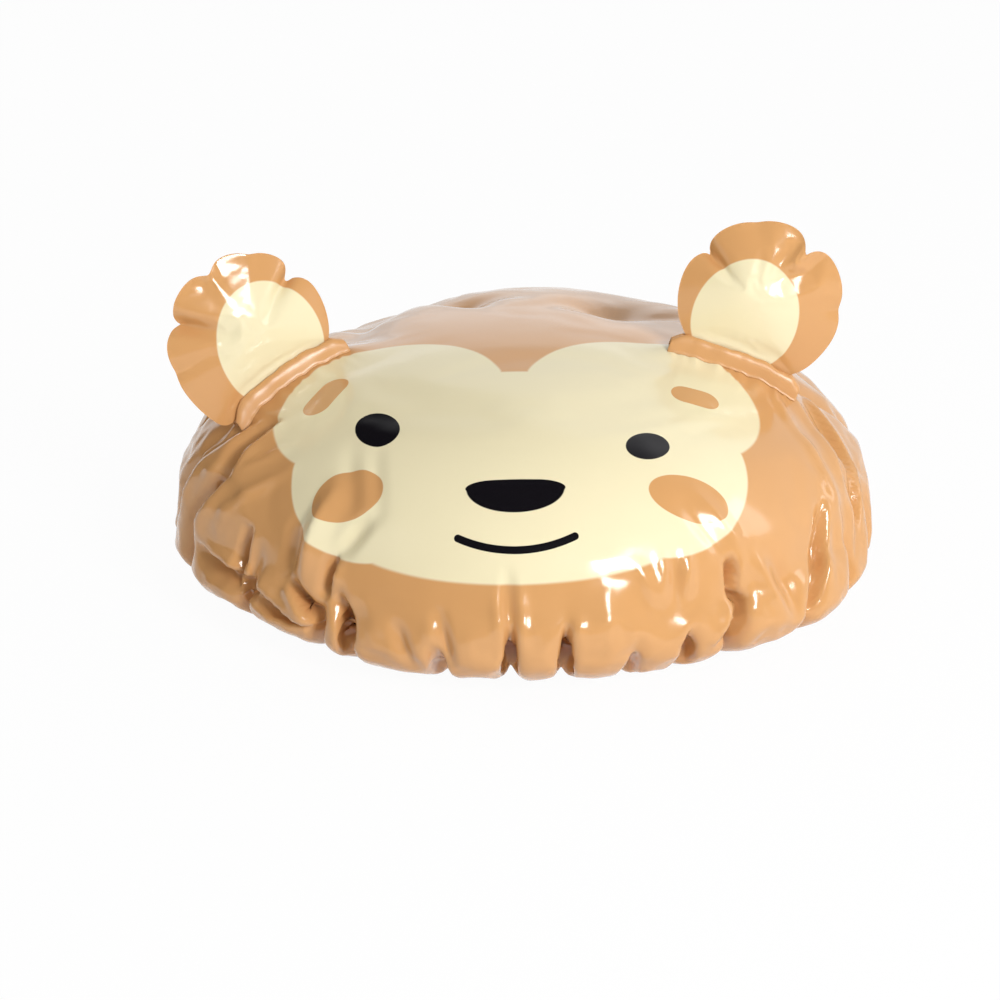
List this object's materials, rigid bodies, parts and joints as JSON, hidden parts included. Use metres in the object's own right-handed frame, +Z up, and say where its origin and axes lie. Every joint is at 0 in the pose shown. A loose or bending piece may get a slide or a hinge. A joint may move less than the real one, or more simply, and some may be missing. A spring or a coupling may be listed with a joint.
{
  "type": "shower cap",
  "caption": "Puffed glossy film shower cap with a printed animal face, upright film ears that flop at their base, and a gathered elastic hem.",
  "frame": {"origin": "middle of the mouth, on the surface that the hem rests on, under the crown's centre", "axes": "+Z up to the top of the crown, +X to the right of a viewer who faces the printed face, +Y to the back, so the face looks along -Y"},
  "size_m": [0.27, 0.2699, 0.1422],
  "materials": {
    "film": "glossy soft vinyl film, tan",
    "hem_film": "glossy soft vinyl film, tan, folded",
    "elastic": "matt covered elastic, off-white",
    "thread": "matt sewing thread, tan"
  },
  "bodies": {
    "cap": {"crown_film": "film", "hem_binding": "hem_film", "elastic_band": "elastic", "hem_stitching": "thread", "left_ear_strip": "film", "left_ear_root": "film", "right_ear_strip": "film", "right_ear_root": "film"},
    "left_ear": {"left_ear_front": "film", "left_ear_back": "film"},
    "right_ear": {"right_ear_front": "film", "right_ear_back": "film"}
  },
  "joints": [
    {"name": "left_ear_fold", "type": "hinge", "parent": "cap", "child": "left_ear", "pos_m": [-0.09244, -0.02419, 0.08726], "axis": [0.7849, 0.4716, 0.4018], "range_deg": [-75, 75], "stiffness_Nm_per_rad": 0.004},
    {"name": "right_ear_fold", "type": "hinge", "parent": "cap", "child": "right_ear", "pos_m": [0.08059, -0.02159, 0.09208], "axis": [0.9396, -0.0988, -0.3278], "range_deg": [-75, 75], "stiffness_Nm_per_rad": 0.004}
  ]
}
